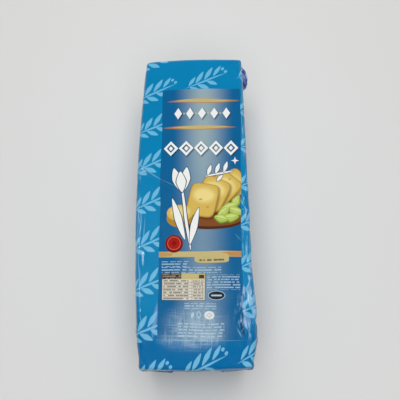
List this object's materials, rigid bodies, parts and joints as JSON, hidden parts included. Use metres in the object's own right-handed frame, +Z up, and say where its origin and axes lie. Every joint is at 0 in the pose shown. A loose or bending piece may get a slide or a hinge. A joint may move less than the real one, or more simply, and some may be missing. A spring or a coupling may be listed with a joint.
{
  "type": "gouda cheese loaf in shrink film",
  "caption": "Long rectangular cheese loaf sealed in glossy printed shrink film, lying on its flat underside, with folded end seals and small film ears at its corners.",
  "frame": {"origin": "middle of the flat underside that the loaf rests on, on the floor", "axes": "+Y along the loaf to the far end, +X to the loaf's right side, +Z up"},
  "size_m": [0.1124, 0.3099, 0.097],
  "materials": {
    "printed_film": "glossy shrink film, reverse printed in cyan and deep blue, softly creased"
  },
  "bodies": {
    "root": {"cheese_loaf": "printed_film"}
  },
  "joints": []
}
